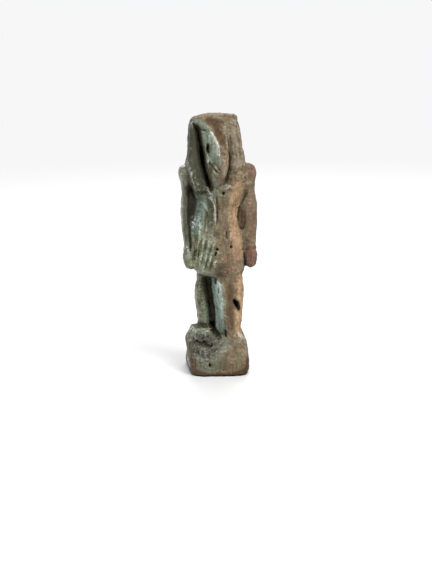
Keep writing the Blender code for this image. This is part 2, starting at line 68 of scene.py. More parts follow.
# A stroke is the path of a tool, in the plane it is pressed through: across and up for one from
# the front or back, depth and up for one from a side. Then come its width from middle to edge, its
# depth, where less than 0 raises a ridge, and how much dirt it holds.
FRONT_STROKES = {
    "shoulder edge": (SHOULDER_EDGE, 0.2, -0.16, 0.0),
    "sash edge": (
        (
            (-3.3, 27.4), (-2.5, 26.4), (-1.95, 25.7), (-1.35, 24.8), (-1.2, 24.1), (-1.5, 23.2),
            (-1.75, 21.6),
        ),
        0.24, -0.24, 0.0,
    ),
    "under sash": (((-3.3, 26.7), (-2.6, 25.7), (-2.0, 24.8), (-1.7, 24.0), (-2.0, 22.8)), 0.3, 0.1, 0.1),
    "right lappet foot": (((-3.4, 27.6), (-2.4, 27.35), (-1.2, 27.65)), 0.34, 0.22, 0.4),
    "breast ridge": (
        ((-1.3, 28.4), (-0.7, 26.5), (-0.25, 25.3), (-0.16, 23.4), (-0.22, 21.8)),
        0.24, -0.16, 0.0,
    ),
    "breast crease": (((0.03, 27.2), (0.14, 25.7), (0.14, 24.1), (0.1, 22.8)), 0.22, 0.14, 0.4),
    "breast crease beside": (((0.99, 26.2), (0.97, 24.4), (0.96, 22.6)), 0.22, 0.1, 0.3),
    "left armpit": (LEFT_ARMPIT, 0.22, 0.16, 0.4),
    "left armpit notch": (((3.7, 25.0), (3.2, 24.9)), 0.2, 0.16, 0.2),
    "left hollow": (
        ((3.7, 25.1), (3.42, 23.6), (3.55, 22.3), (4.15, 21.7), (4.55, 22.8), (4.45, 24.3)),
        0.24, 0.24, 0.45,
    ),
    "left hand edge": (((4.3, 17.8), (4.42, 16.9), (4.52, 15.8)), 0.24, 0.2, 0.5),
    "left hand top": (((4.6, 19.9), (5.3, 19.6), (6.2, 19.5)), 0.3, 0.12, 0.3),
    "right hand edge": (((-3.9, 20.9), (-3.85, 19.4), (-3.8, 18.2)), 0.26, 0.3, 0.6),
    "right tab": (((-0.36, 22.1), (-0.36, 20.8)), 0.2, 0.14, 0.45),
    "right tab rim": (((0.1, 22.3), (0.1, 20.9)), 0.24, -0.14, 0.0),
    "left tab": (((1.54, 21.7), (1.54, 20.4)), 0.2, 0.14, 0.45),
    "left tab rim": (((1.2, 21.8), (1.2, 20.3), (1.5, 19.1), (1.65, 17.9)), 0.24, -0.14, 0.0),
    "apron edge": (((2.1, 21.2), (1.98, 20.3), (1.88, 18.8)), 0.26, -0.12, 0.0),
    "brow line": (((-2.55, 36.95), (-1.9, 36.85), (-1.3, 36.85)), 0.2, 0.2, 0.6),
    "face right edge": (
        ((-3.45, 38.3), (-3.05, 37.3), (-2.55, 36.6), (-2.3, 35.4), (-2.1, 34.2)),
        0.26, 0.35, 0.7,
    ),
    "beak right edge": (
        ((-2.1, 34.2), (-1.9, 32.6), (-1.6, 31.0), (-1.1, 29.3), (-0.6, 28.0)),
        0.3, 0.4, 0.8,
    ),
    "facet edge": (
        ((-1.1, 37.1), (-0.56, 36.05), (-0.15, 35.2), (0.14, 34.1), (0.17, 33.2), (0.05, 32.4)),
        0.3, -0.2, 0.0,
    ),
    "facet fold": (((-1.5, 36.4), (-1.2, 35.6), (-1.3, 34.9)), 0.26, -0.12, 0.0),
    "face front ridge": (((0.75, 37.4), (0.75, 35.6), (0.85, 33.6), (0.8, 32.2)), 0.28, -0.09, 0.0),
    "face left rim": (((1.35, 37.6), (1.4, 35.4), (1.4, 33.4), (1.45, 31.8)), 0.26, -0.08, 0.0),
    "beak crease": (((-1.15, 32.3), (-0.8, 31.6), (-0.4, 31.1), (0.2, 30.5)), 0.24, 0.28, 0.6),
    "beak crease lip": (((-0.85, 31.95), (-0.45, 31.45), (0.0, 30.95)), 0.16, -0.14, 0.0),
    "beak crease above": (((-0.6, 32.2), (-0.05, 31.55), (0.45, 30.8)), 0.2, 0.24, 0.7),
    "beak crease below": (((-0.9, 30.9), (-0.5, 30.2), (-0.1, 29.6)), 0.18, 0.12, 0.3),
    "wig strand": (((1.95, 37.3), (2.1, 34.8), (2.3, 32.8)), 0.16, 0.09, 0.2),
    "wig strand beside": (((2.4, 37.2), (2.65, 34.8), (2.95, 32.6)), 0.16, 0.1, 0.25),
    "wig strand outside": (((2.85, 37.1), (3.15, 34.8), (3.55, 32.6)), 0.16, 0.08, 0.2),
    "beak left ridge": (((0.85, 32.0), (0.85, 31.2), (0.8, 30.2), (0.5, 29.4)), 0.2, -0.1, 0.0),
    "beak left edge": (
        ((1.75, 35.2), (1.75, 33.5), (1.84, 32.4), (1.75, 31.0), (1.4, 29.8)),
        0.2, 0.12, 0.3,
    ),
    "beak left groove": (((1.95, 32.6), (1.85, 31.4), (1.5, 30.0)), 0.22, 0.16, 0.3),
    "beak tip edge": (((1.4, 29.8), (0.8, 28.95), (0.0, 28.4)), 0.28, 0.25, 0.4),
    "hem": (((-3.2, 15.4), (-1.9, 15.0), (-0.8, 14.95), (1.2, 14.7), (3.8, 14.9)), 0.26, 0.08, 0.2),
    "strip edge": (((0.1, 14.2), (0.4, 12.7), (0.85, 11.0), (1.05, 8.0), (1.25, 6.2)), 0.3, -0.1, 0.0),
    "strip slit above": (STRIP_SLIT_ABOVE, 0.22, 0.4, 0.9),
    "strip slit": (STRIP_SLIT, 0.2, 0.25, 0.7),
    "strip slit below": (((1.14, 6.4), (1.13, 5.4)), 0.24, 0.4, 0.9),
    "rear leg groove": (((-1.3, 13.6), (-1.1, 11.3), (-0.75, 9.4), (-0.55, 7.6)), 0.24, 0.1, 0.5),
    "shin line": (((1.88, 14.0), (1.85, 11.1), (1.83, 8.8), (1.96, 6.4)), 0.3, 0.08, 0.2),
    "foot crevice": (((-3.4, 4.75), (-2.4, 4.6), (-1.6, 4.45), (-0.9, 4.7)), 0.26, 0.4, 0.8),
    "lump top": (((-4.1, 7.0), (-3.1, 7.05), (-1.4, 6.8)), 0.3, 0.12, 0.7),
    "lump edge": (((-4.0, 6.1), (-3.2, 6.0), (-2.4, 6.2), (-1.5, 5.8)), 0.24, -0.2, 0.0),
    "toe line": (((2.3, 3.9), (2.2, 3.2)), 0.2, 0.1, 0.3),
    "base ledge": (((-2.6, 2.9), (-1.6, 2.6), (-0.6, 2.9)), 0.3, 0.08, 0.1),
}
# The kilt's pleats: the tops and feet of their lines
PLEAT_TOPS = ((-2.95, 21.9), (-2.25, 20.9), (-1.4, 21.3), (-0.7, 20.0), (-0.05, 19.2))
PLEAT_FEET = ((-3.5, 16.6), (-3.05, 16.3), (-2.45, 15.8), (-1.85, 15.9), (-1.25, 15.4))
# How far beside its line each pleat's ridge runs
PLEAT_RIDGE = 0.34
# What is pressed for each pleat: how far beside its line, then width, depth and dirt
PLEAT_MARKS = (
    (0.0, (0.24, 0.14, 0.15)),
    (PLEAT_RIDGE, (0.24, -0.1, 0.0)),
    (0.58, (0.15, 0.08, 0.1)),
)

# Pressed from both sides
SIDE_STROKES = {
    "arm inner line": (((0.9, 28.6), (0.7, 25.0), (0.9, 21.5), (0.4, 19.8)), 0.3, 0.12, 0.4),
    "thumb line": (((-1.3, 18.9), (-0.3, 18.3), (0.8, 18.2)), 0.2, 0.2, 0.7),
    "knuckle line": (((-1.2, 17.5), (-0.2, 17.1), (0.8, 17.3)), 0.18, 0.14, 0.6),
    "wig edge": (((1.6, 31.9), (1.3, 34.5), (1.1, 37.4)), 0.3, 0.1, 0.3),
    "kilt side fold": (((1.6, 21.5), (1.9, 18.0), (1.8, 15.6)), 0.35, 0.14, 0.4),
    "kilt side fold behind": (((2.6, 21.5), (2.8, 18.0), (2.7, 15.6)), 0.3, 0.1, 0.4),
    "pillar side": (((3.2, 30.0), (3.2, 20.0), (3.2, 8.0)), 0.28, 0.16, 0.7),
}
# Pressed from behind
BACK_STROKES = {
    "pillar right": (((-2.0, 34.6), (-2.0, 20.0), (-2.0, 3.6)), 0.26, 0.2, 0.9),
    "pillar left": (((2.0, 34.6), (2.0, 20.0), (2.0, 3.6)), 0.26, 0.2, 0.9),
    "wig hem right": (((-4.3, 31.2), (-2.2, 31.0)), 0.25, 0.15, 0.6),
    "wig hem left": (((2.2, 31.0), (4.6, 31.2)), 0.25, 0.15, 0.6),
    "belt right": (((-4.0, 21.6), (-2.0, 21.7)), 0.22, 0.1, 0.4),
    "belt left": (((2.0, 21.7), (4.4, 21.6)), 0.22, 0.1, 0.4),
}

# A pit is across, up, half width, half height, tilt in degrees and depth.
FRONT_PITS = {
    "shin hole": (2.85, 10.3, 0.34, 0.9, 22.0, 0.7),
    "chest": (1.09, 27.3, 0.24, 0.26, 0.0, 0.6),
    "kilt left side": (2.19, 19.17, 0.2, 0.24, 0.0, 0.5),
    "kilt middle": (0.09, 18.85, 0.2, 0.2, 0.0, 0.4),
    "base": (-1.7, 1.78, 0.2, 0.26, 0.0, 0.4),
    "kilt slit": (-0.15, 18.2, 0.14, 0.42, -20.0, 0.3),
    "ribs": (3.05, 25.4, 0.14, 0.14, 0.0, 0.2),
    "left breast": (4.4, 29.6, 0.2, 0.2, 0.0, 0.25),
    "beside the face above": (1.6, 34.9, 0.13, 0.26, 0.0, 0.25),
    "beside the face": (1.68, 33.7, 0.13, 0.3, 10.0, 0.25),
    "beside the beak": (1.6, 32.4, 0.12, 0.2, 0.0, 0.2),
    "foot of the gap": (-0.35, 6.1, 0.6, 0.55, -30.0, 0.6),
}
FRONT_KNOBS = {
    "brow": (-2.05, 36.45, 0.32, 0.3, 0.0, -0.2),
    "cheek": (-1.35, 33.0, 0.2, 0.3, 0.0, -0.16),
    "cheek below": (-1.28, 32.2, 0.18, 0.28, 0.0, -0.14),
    "below the beak": (1.42, 28.35, 0.35, 0.3, 20.0, -0.22),
    "broken foot top": (-3.5, 6.5, 0.45, 0.4, 0.0, -0.16),
    "broken foot side": (-4.1, 5.5, 0.4, 0.35, 0.0, -0.14),
    "last pleat end": (-0.25, 16.7, 0.24, 0.5, -25.0, -0.14),
}
# The right eye, pressed from the front, and what is pressed from the figure's left
RIGHT_EYE = (-1.25, 34.2, 0.2, 0.7, -8.0, 0.3)
LEFT_EYE = (-3.4, 34.2, 0.34, 0.5, 0.0, 0.3)
LEFT_EYE_RIM = (((-3.9, 34.8), (-3.4, 35.0), (-2.95, 34.6)), 0.2, -0.1, 0.0)
BEAK_GAPE = (((-3.4, 33.3), (-3.9, 31.8), (-3.9, 30.4), (-3.6, 29.3)), 0.16, 0.12, 0.6)

# How a tool presses: how fast its mark grows as the surface turns to face it, what share of a
# stroke is left at its ends and how fast it grows from there, and the dirt that a pit holds
FACING_RISE = 1.6
END_SHARE, END_RISE = 0.35, 6.0
PIT_DIRT = 0.8

# How a mark falls away from its middle: its value there, where over 1 counts as 1, and its fall
# over one half size or radius
PIT_FADE = (1.5, 1.2)
BUBBLE_FADE = (1.5, 1.4)
STAIN_FADE = (1.6, 1.0)

# Round holes left by burst bubbles, all over. Their depth is a share of their radius.
BUBBLES = 70
BUBBLE_RADII = (0.08, 0.2)
BUBBLE_DEPTH = 0.7
BUBBLE_DIRT = 0.5
BUBBLE_SEED = 11

# Noise: the fractal's dimension, the step between its octaves, and how far a seed moves it
FRACTAL_DIMENSION, FRACTAL_STEP = 0.8, 2.0
SEED_STEPS = (7.3, 3.1, 5.7)

# Unevenness all over: the noise's grain, its height, its seed and its octaves
UNEVENNESS = {
    "wear": (2.6, 0.05, 5, 3),
    "lumps": (1.1, 0.075, 8, 3),
    "sandy grain": (0.45, 0.045, 13, 2),
}
# The torn surface of the break
BREAK_MIDDLE = (-2.3, -3.4, 4.2)
BREAK_HALF_SIZE = (2.8, 3.0, 2.4)
BREAK_GRAIN, BREAK_HEIGHT, BREAK_SEED = 0.6, 0.5, 21
# The rubbed foot of the base: how deep, up to what height, and the grain and seed of its noise
FOOT_WEAR, FOOT_WEAR_HEIGHT = 0.2, 0.5
FOOT_WEAR_GRAIN, FOOT_WEAR_SEED = 0.8, 41

# Where the glaze ends on the front: height and across. To the figure's right of it the glaze is
# kept, and to its left it is rubbed away.
GLAZE_EDGE = (
    (0.0, -0.8), (1.5, -0.4), (3.0, 0.0), (4.5, 1.2), (6.0, 1.4), (8.0, 1.2), (12.0, 0.9), (14.5, 0.3),
    (16.0, -0.8), (18.0, -0.3), (20.0, 0.0), (22.0, -0.6), (25.0, -0.5), (27.0, 0.6), (28.5, 1.0),
    (29.5, 0.6), (31.0, 0.4), (33.0, 0.4), (35.0, 0.0), (36.5, -0.9), (38.0, -1.5), (38.6, -3.4),
    (39.1, -4.5),
)
GLAZE_FADE = 1.6
# How far that edge strays, and the grain and seed of its noise
GLAZE_STRAY, GLAZE_GRAIN, GLAZE_SEED = 0.6, 1.6, 31
# Behind, the glaze is kept in patches and in hollows: the patches' strength, grain and seed, the
# hollows' strength and passes, and the depth where this starts and the depth that it fades in over
BACK_PATCHES, BACK_GRAIN, BACK_SEED = 1.2, 3.2, 35
BACK_HOLLOWS, BACK_PASSES = 2.0, 30
BACK_START, BACK_FADE = 0.5, 2.0

# Dirt and wear: the passes that find fine and broad hollows, what the tools and the hollows add to
# the dirt, what is taken off it all over, and what the hollows take from the wear
FINE_PASSES, BROAD_PASSES = 8, 90
TOOL_DIRT, FINE_DIRT, BROAD_DIRT, LESS_DIRT = 0.45, 4.0, 1.1, 0.05
FINE_WEAR, BROAD_WEAR = 9.0, 0.5

# Patches of each tone: middle, half sizes and strength
PATCHES = {
    "olive": {
        "right lappet": ((-3.0, -1.2, 32.0), (1.3, 2.4, 5.2), 1.0),
        "wig right side": ((-3.6, 1.5, 35.0), (1.2, 3.0, 5.0), 0.8),
        "rear leg": ((-1.9, 1.2, 11.2), (1.3, 2.6, 4.0), 0.7),
        # Painted shade on the inner side of the right arm, in the olive of the glaze
        "right arm inside": ((-4.2, -0.4, 23.5), (0.7, 1.6, 6.0), 0.85),
        "beak tip": ((0.3, -4.3, 29.4), (1.2, 1.2, 1.2), 0.4),
        "base below the break": ((-1.2, -5.4, 2.0), (2.8, 1.4, 1.3), 0.55),
        "base before the left foot": ((1.6, -6.0, 1.6), (2.4, 1.0, 1.0), 0.3),
        "hem": ((0.8, -1.8, 15.6), (1.2, 1.2, 1.2), 0.8),
        "rear knee": ((-2.6, 0.2, 12.9), (0.6, 1.4, 1.0), 1.0),
        "rear shin": ((-2.5, 0.2, 10.6), (0.5, 1.4, 0.8), 1.0),
        "rear shin below": ((-2.0, 0.2, 9.0), (0.4, 1.4, 0.6), 0.9),
        "rear ankle": ((-2.9, 0.2, 8.4), (0.3, 1.4, 0.6), 0.9),
        "right hand": ((-4.6, -0.9, 17.2), (0.5, 0.8, 1.0), 0.5),
    },
    "teal": {
        "right hand": ((-4.5, -1.3, 18.7), (0.7, 1.0, 1.6), 0.5),
        "rear ankle": ((-1.4, 0.4, 8.0), (0.7, 1.4, 1.2), 0.9),
        "rear shin": ((-2.0, 0.2, 9.9), (0.4, 1.0, 0.7), 0.8),
        "pleats": ((-2.3, -1.9, 18.4), (1.7, 1.2, 2.8), 0.6),
    },
    "sage": {
        "outer pleats": ((-3.0, -1.6, 18.6), (1.0, 1.2, 2.8), 0.75),
        "broken foot top": ((-2.6, -3.6, 6.4), (1.2, 1.6, 0.7), 0.3),
        "rear shin": ((-2.1, 1.2, 9.2), (0.6, 2.0, 2.0), 0.5),
        "rear leg outside": ((-2.9, 1.0, 11.6), (0.5, 2.0, 3.0), 0.5),
    },
    "buff": {
        "crown": ((0.0, 1.0, 39.3), (4.2, 4.0, 0.5), 0.7),
        "left lappet": ((2.9, -2.2, 34.6), (1.4, 1.6, 3.4), 1.0),
        "left breast": ((2.9, -2.0, 30.0), (1.5, 1.2, 1.2), 0.6),
        "left foot outside": ((4.2, -3.0, 4.6), (1.2, 1.6, 1.6), 0.7),
        "base right side": ((-4.7, -1.0, 4.0), (0.5, 2.4, 1.4), 0.8),
        "left shin": ((2.6, -2.4, 9.0), (0.9, 1.0, 5.0), 0.4),
    },
    "orange": {
        "below the left shoulder": ((4.0, -1.6, 29.6), (1.6, 1.4, 1.6), 0.4),
        "kilt left side": ((2.6, -2.0, 17.5), (1.6, 1.2, 2.4), 0.4),
    },
    "rust": {
        "left hand": ((5.5, -1.0, 17.5), (1.1, 1.8, 1.8), 1.0),
        "left forearm": ((5.7, -0.4, 23.0), (0.9, 2.0, 3.6), 0.6),
        "left shoulder": ((5.9, -0.6, 30.4), (0.8, 1.4, 1.0), 1.0),
        "kilt left side": ((2.4, -2.0, 17.4), (1.5, 1.0, 2.4), 0.45),
        "left upper arm": ((5.3, -1.3, 25.6), (0.6, 1.0, 3.0), 0.4),
    },
    "umber": {
        "wig right corner": ((-3.45, -1.9, 38.2), (0.4, 0.7, 0.6), 1.0),
        "right lappet": ((-3.4, -1.4, 34.4), (0.9, 1.8, 3.4), 0.35),
        "right lappet foot": ((-2.6, -1.6, 30.2), (0.9, 1.8, 1.6), 0.25),
        "base right side": ((-4.7, 1.2, 1.0), (0.4, 0.5, 0.8), 1.0),
        "base left corner": ((4.15, -5.0, 1.1), (0.8, 1.2, 1.5), 1.0),
        "left hand": ((5.0, -1.6, 18.4), (0.5, 0.8, 1.0), 0.5),
        "base right corner": ((-4.3, -3.0, 1.6), (0.5, 1.6, 1.0), 0.4),
        "left hollow": ((4.0, -0.6, 23.4), (0.5, 1.0, 1.5), 0.8),
    },
    "ashen": {
        "break": ((-2.3, -3.6, 4.6), (2.5, 2.4, 2.0), 1.0),
        "beside the break": ((0.6, -3.6, 4.6), (1.6, 1.2, 1.0), 0.5),
        "base left edge": ((4.4, -3.4, 3.6), (0.6, 1.4, 1.4), 0.5),
    },
    "aqua": {
        "belly": ((-2.9, -0.4, 23.0), (0.8, 1.6, 0.8), 0.25),
        "pleats": ((-2.3, -1.9, 18.2), (1.6, 1.2, 2.6), 0.3),
        "broken foot top": ((-2.4, -3.2, 6.2), (1.6, 1.8, 0.8), 0.55),
    },
    # Painted highlights: a painted rim light down the right arm's front and a painted highlight on the cheek,
    # partly pale worn glaze
    "pale": {
        "right arm front": ((-5.2, -0.6, 26.0), (0.3, 0.8, 5.0), 0.4),
        "cheek": ((-1.35, -2.6, 32.6), (0.3, 0.5, 0.7), 0.7),
    },
    # Painted shade: a painted contact shadow along the foot of the base and painted shade in the left hollow;
    # on the left hand, the left forearm and the brow's right side this dark tone gives dark mottling
    "shade": {
        "foot of the base": ((0.0, 0.0, 0.0), (20.0, 20.0, 0.3), 1.0),
        "left hollow": ((4.05, -0.6, 23.8), (0.5, 1.0, 1.9), 0.5),
        "left hand": ((5.6, -1.2, 17.6), (0.8, 1.2, 1.8), 0.16),
        "left forearm": ((5.6, -1.0, 22.0), (0.7, 1.2, 3.0), 0.12),
        "brow right side": ((-2.2, -2.6, 37.5), (1.0, 1.0, 0.6), 0.25),
    },
}
# Streaks of each tone on the front: path across and up, half width and strength
STREAKS = {
    "olive": {
        "right lappet": (((-3.2, 36.4), (-3.2, 33.0), (-3.0, 30.4), (-2.3, 28.4)), 1.0, 1.0),
        "beside the breast ridge": (((-1.2, 27.0), (-0.9, 25.0), (-1.0, 22.6)), 0.5, 0.8),
        "rear leg": (((-2.2, 13.8), (-2.1, 11.8), (-2.0, 10.6)), 0.6, 0.6),
    },
    "teal": {
        "brow": (((-3.0, 37.9), (-2.0, 37.7), (-1.3, 37.2)), 0.5, 0.65),
        "face facet": (((-1.7, 36.4), (-1.2, 35.2), (-0.75, 33.9), (-0.7, 32.8)), 0.7, 1.0),
        "belly": (((-2.2, 26.4), (-2.4, 24.6), (-2.9, 22.6), (-3.1, 21.0)), 0.75, 1.0),
        "beside the break": (((-0.6, 5.0), (-0.1, 4.5), (0.1, 3.8)), 0.5, 0.5),
    },
    "aqua": {
        # The strip's light teal glaze, painted lighter also where its receding inner wall is in shade
        "strip": (((-0.25, 13.4), (-0.1, 12.0), (0.05, 9.5), (0.12, 7.8), (0.2, 6.3)), 0.68, 1.0),
        # A painted highlight along the facet's edge
        "facet edge": (((-0.9, 36.2), (-0.4, 35.3), (0.0, 34.2)), 0.3, 0.4),
        "belly": (((-2.2, 25.6), (-2.5, 24.4), (-2.9, 23.0), (-3.1, 21.6)), 0.6, 0.6),
    },
    "sage": {
        # A painted rim light down the outer edges of the rear leg and the right arm, in the sage of the glaze
        "rear leg outside": (((-3.1, 13.8), (-3.2, 11.5), (-3.0, 9.0), (-2.9, 7.6)), 0.36, 0.9),
        "right arm": (((-5.4, 29.6), (-5.3, 26.5), (-5.2, 23.0), (-5.1, 20.0)), 0.3, 0.6),
    },
    "buff": {
        "beak front": (((0.8, 33.2), (0.85, 31.6), (0.7, 30.2)), 0.34, 0.8),
    },
    "orange": {
        "body left side": (((3.4, 28.4), (2.9, 25.5), (2.9, 22.5), (3.1, 20.0), (3.2, 18.0)), 0.9, 0.85),
        "left leg outside": (((3.7, 14.2), (3.7, 11.5), (3.3, 8.0), (3.3, 6.6)), 0.7, 0.95),
        "beak left side": (((1.1, 33.8), (1.2, 32.0)), 0.3, 0.5),
    },
    "rust": {
        "face front": (((1.05, 35.8), (1.05, 34.4)), 0.25, 0.5),
        "left knee": (((2.1, 13.8), (2.2, 12.0)), 0.4, 0.4),
        "hem": (((0.9, 16.5), (1.2, 15.2)), 0.5, 0.5),
        "beside the shin hole": (((2.5, 10.95), (2.6, 10.1)), 0.25, 0.9),
    },
    "umber": {
        "forehead": (((-0.9, 38.1), (0.1, 37.6), (0.3, 36.5), (0.6, 35.3)), 0.6, 0.85),
        "forehead top": (((0.0, 38.2), (1.0, 37.9)), 0.3, 0.6),
        "beak": (((0.2, 31.0), (0.3, 29.8)), 0.6, 0.5),
        "left shin": (((1.95, 13.0), (1.8, 10.0), (1.85, 7.0)), 0.6, 0.7),
        "base right corner": (((-4.15, 2.8), (-4.05, 1.9), (-4.1, 1.2), (-3.95, 0.5)), 0.38, 1.0),
        "foot line right": (((-4.1, 0.8), (-3.2, 0.4), (-2.2, 0.1)), 0.55, 1.0),
        "foot line middle": (((-2.2, 0.1), (-0.8, 0.35), (0.8, 0.1)), 0.34, 1.0),
        "foot line left": (((0.8, 0.1), (2.4, 0.35), (4.3, 0.9)), 0.5, 1.0),
    },
    # Painted highlights along the facet's edge, the shoulder, sash and breast ridges, the brow's front and
    # small knobs, partly pale worn glaze
    "pale": {
        "facet edge": (((-0.75, 36.4), (-0.45, 35.8), (-0.08, 35.0), (0.14, 34.1), (0.16, 33.4)), 0.26, 0.85),
        "shoulder edge": (SHOULDER_EDGE, 0.2, 0.45),
        "sash edge": (((-3.2, 27.3), (-2.5, 26.4), (-1.95, 25.7), (-1.4, 24.8)), 0.16, 0.45),
        "breast ridge": (((-1.3, 28.4), (-0.7, 26.5), (-0.25, 25.3), (-0.2, 23.4)), 0.18, 0.4),
        "brow front": (((1.2, 37.7), (1.25, 36.0)), 0.2, 0.3),
        "below the beak": (((1.2, 28.2), (1.8, 28.5)), 0.3, 0.6),
        "left ankle": (((3.2, 6.0), (3.9, 5.0)), 0.3, 0.5),
    },
    # Painted shade in hollows, grooves, slits, the eye and the shin hole, and a painted shadow of the left
    # leg on the rear leg between the knees and the shins
    "shade": {
        "right hollow": (((-4.0, 28.0), (-3.4, 26.0), (-3.5, 24.6), (-3.8, 23.0)), 0.62, 0.85),
        "right hollow below": (((-3.85, 23.2), (-3.95, 21.0), (-3.9, 19.2)), 0.26, 0.9),
        "face edge": (((-2.85, 37.1), (-2.65, 36.4), (-2.5, 35.2), (-2.4, 33.6), (-2.2, 32.0)), 0.5, 1.0),
        "beside the beak": (((-2.2, 32.0), (-1.8, 30.4), (-1.2, 28.9)), 0.45, 1.0),
        "right lappet inside": (((-2.9, 36.0), (-2.7, 33.0), (-2.3, 30.6)), 0.7, 0.5),
        "eye": (((-1.3, 34.8), (-1.2, 34.2), (-1.18, 33.6)), 0.18, 1.0),
        "below the crown": (((-0.9, 38.2), (0.1, 38.1), (1.0, 37.9)), 0.22, 0.5),
        "forehead": (((-0.2, 37.5), (0.25, 36.4)), 0.4, 0.4),
        "beak crease": (((-0.95, 31.9), (-0.75, 31.6), (-0.4, 31.1), (0.0, 30.75)), 0.1, 0.6),
        "beak crease above": (((-0.3, 31.9), (-0.05, 31.55), (0.25, 31.1)), 0.1, 0.6),
        "strip slit above": (STRIP_SLIT_ABOVE, 0.14, 1.0),
        "strip slit": (STRIP_SLIT, 0.09, 0.7),
        "strip slit below": (((1.14, 6.5), (1.13, 5.6)), 0.16, 0.9),
        "left of the face": (((1.7, 35.4), (1.66, 34.2)), 0.16, 0.7),
        "left of the beak": (((1.8, 32.2), (1.7, 30.9), (1.3, 29.6), (0.6, 28.7)), 0.16, 0.4),
        "left armpit": (LEFT_ARMPIT, 0.2, 0.55),
        "left hollow": (((3.7, 25.1), (3.45, 23.6), (3.55, 22.4), (4.0, 21.8)), 0.2, 0.7),
        "left hand edge": (((4.42, 17.3), (4.5, 16.0)), 0.2, 0.6),
        "between the knees": (((-1.7, 13.9), (-1.4, 11.8), (-1.0, 10.4)), 0.5, 1.0),
        "between the shins": (((-1.0, 10.4), (-0.72, 8.6), (-0.5, 7.0)), 0.22, 1.0),
        "below the hem": (((-2.6, 14.8), (-1.2, 14.5)), 0.3, 0.7),
        "foot of the gap": (((-0.9, 6.6), (0.1, 5.4)), 0.4, 1.0),
        "lump top": (((-3.9, 6.95), (-1.6, 6.8)), 0.22, 0.8),
        "foot crevice": (((-3.6, 4.8), (-2.4, 4.6), (-1.6, 4.4)), 0.22, 0.9),
        "above the foot crevice": (((-3.1, 5.5), (-2.1, 5.4), (-1.3, 5.2)), 0.3, 0.5),
        "shin hole": (((3.0, 10.6), (3.2, 9.6)), 0.26, 0.9),
    },
}
# The depth that the streaks reach back to
STREAK_REACH = 2.0
# The lighter tone along the ridges of the pleats, partly a painted highlight on them, with its strength and
# half width
PLEAT_TONE, PLEAT_LIGHT, PLEAT_WIDTH = "sage", 0.6, 0.22
# Painted glints: small bright highlights painted on the glaze: middle, half sizes and strength
PAINTED_GLINTS = {
    "belly": ((-2.9, -0.2, 22.8), (0.7, 1.4, 1.0), 1.0),
    "right hand": ((-4.5, -1.2, 18.9), (0.28, 0.6, 0.5), 0.8),
    "sash": ((-0.9, -2.0, 27.0), (0.3, 0.6, 0.6), 0.7),
    "last pleat": ((-0.3, -2.2, 16.8), (0.28, 0.6, 0.5), 0.7),
    "below the beak": ((1.3, -2.0, 28.2), (0.5, 0.6, 0.3), 0.6),
    "facet edge": ((0.1, -4.0, 34.4), (0.2, 0.5, 0.8), 0.8),
    "broken foot": ((-3.9, -0.7, 6.6), (0.3, 0.6, 0.3), 1.0),
    "wig left corner": ((2.7, -2.2, 37.8), (0.3, 0.6, 0.3), 0.35),
}


def smooth_step(values):
    """0 below 0, 1 above 1 and a smooth rise between."""
    t = np.clip(values, 0.0, 1.0)
    return t * t * (3 - 2 * t)


def rise(values):
    """0 well below 0, a half at 0 and 1 well above it."""
    return smooth_step(0.5 + values)


def fade(distance, start, slope):
    """Falls with the distance from 1 to 0: whole where start - slope * distance is 1 or more."""
    return smooth_step(start - slope * distance)


def smooth_path(path, pieces=8):
    """More points on a smooth curve through the path's own."""
    points = np.array(path, dtype=float)
    if len(points) < 3:
        return points
    before = np.vstack((2 * points[0] - points[1], points[:-1]))
    after = np.vstack((points[1:], 2 * points[-1] - points[-2]))
    slopes = (after - before) / 2
    curve = []
    for start, end, leave, arrive in zip(points, points[1:], slopes, slopes[1:]):
        for t in np.linspace(0.0, 1.0, pieces, endpoint=False):
            blend = smooth_step(t)
            bend = t * (1 - t) ** 2 * leave - t * t * (1 - t) * arrive
            curve.append(start + (end - start) * blend + bend)
    curve.append(points[-1])
    return np.array(curve)


def path_distance(flat, path):
    """Each point's distance to the path, and how far along it the nearest place is, 0 to 1."""
    nearest = np.full(len(flat), np.inf)
    along = np.zeros(len(flat))
    spans = path[1:] - path[:-1]
    lengths = np.linalg.norm(spans, axis=1)
    done = 0.0
    for start, span, length in zip(path, spans, lengths):
        t = np.clip((flat - start) @ span / length ** 2, 0.0, 1.0)
        distance = np.linalg.norm(flat - start - t[:, None] * span, axis=1)
        closer = distance < nearest
        nearest[closer] = distance[closer]
        along[closer] = (done + t[closer] * length) / lengths.sum()
        done += length
    return nearest, along


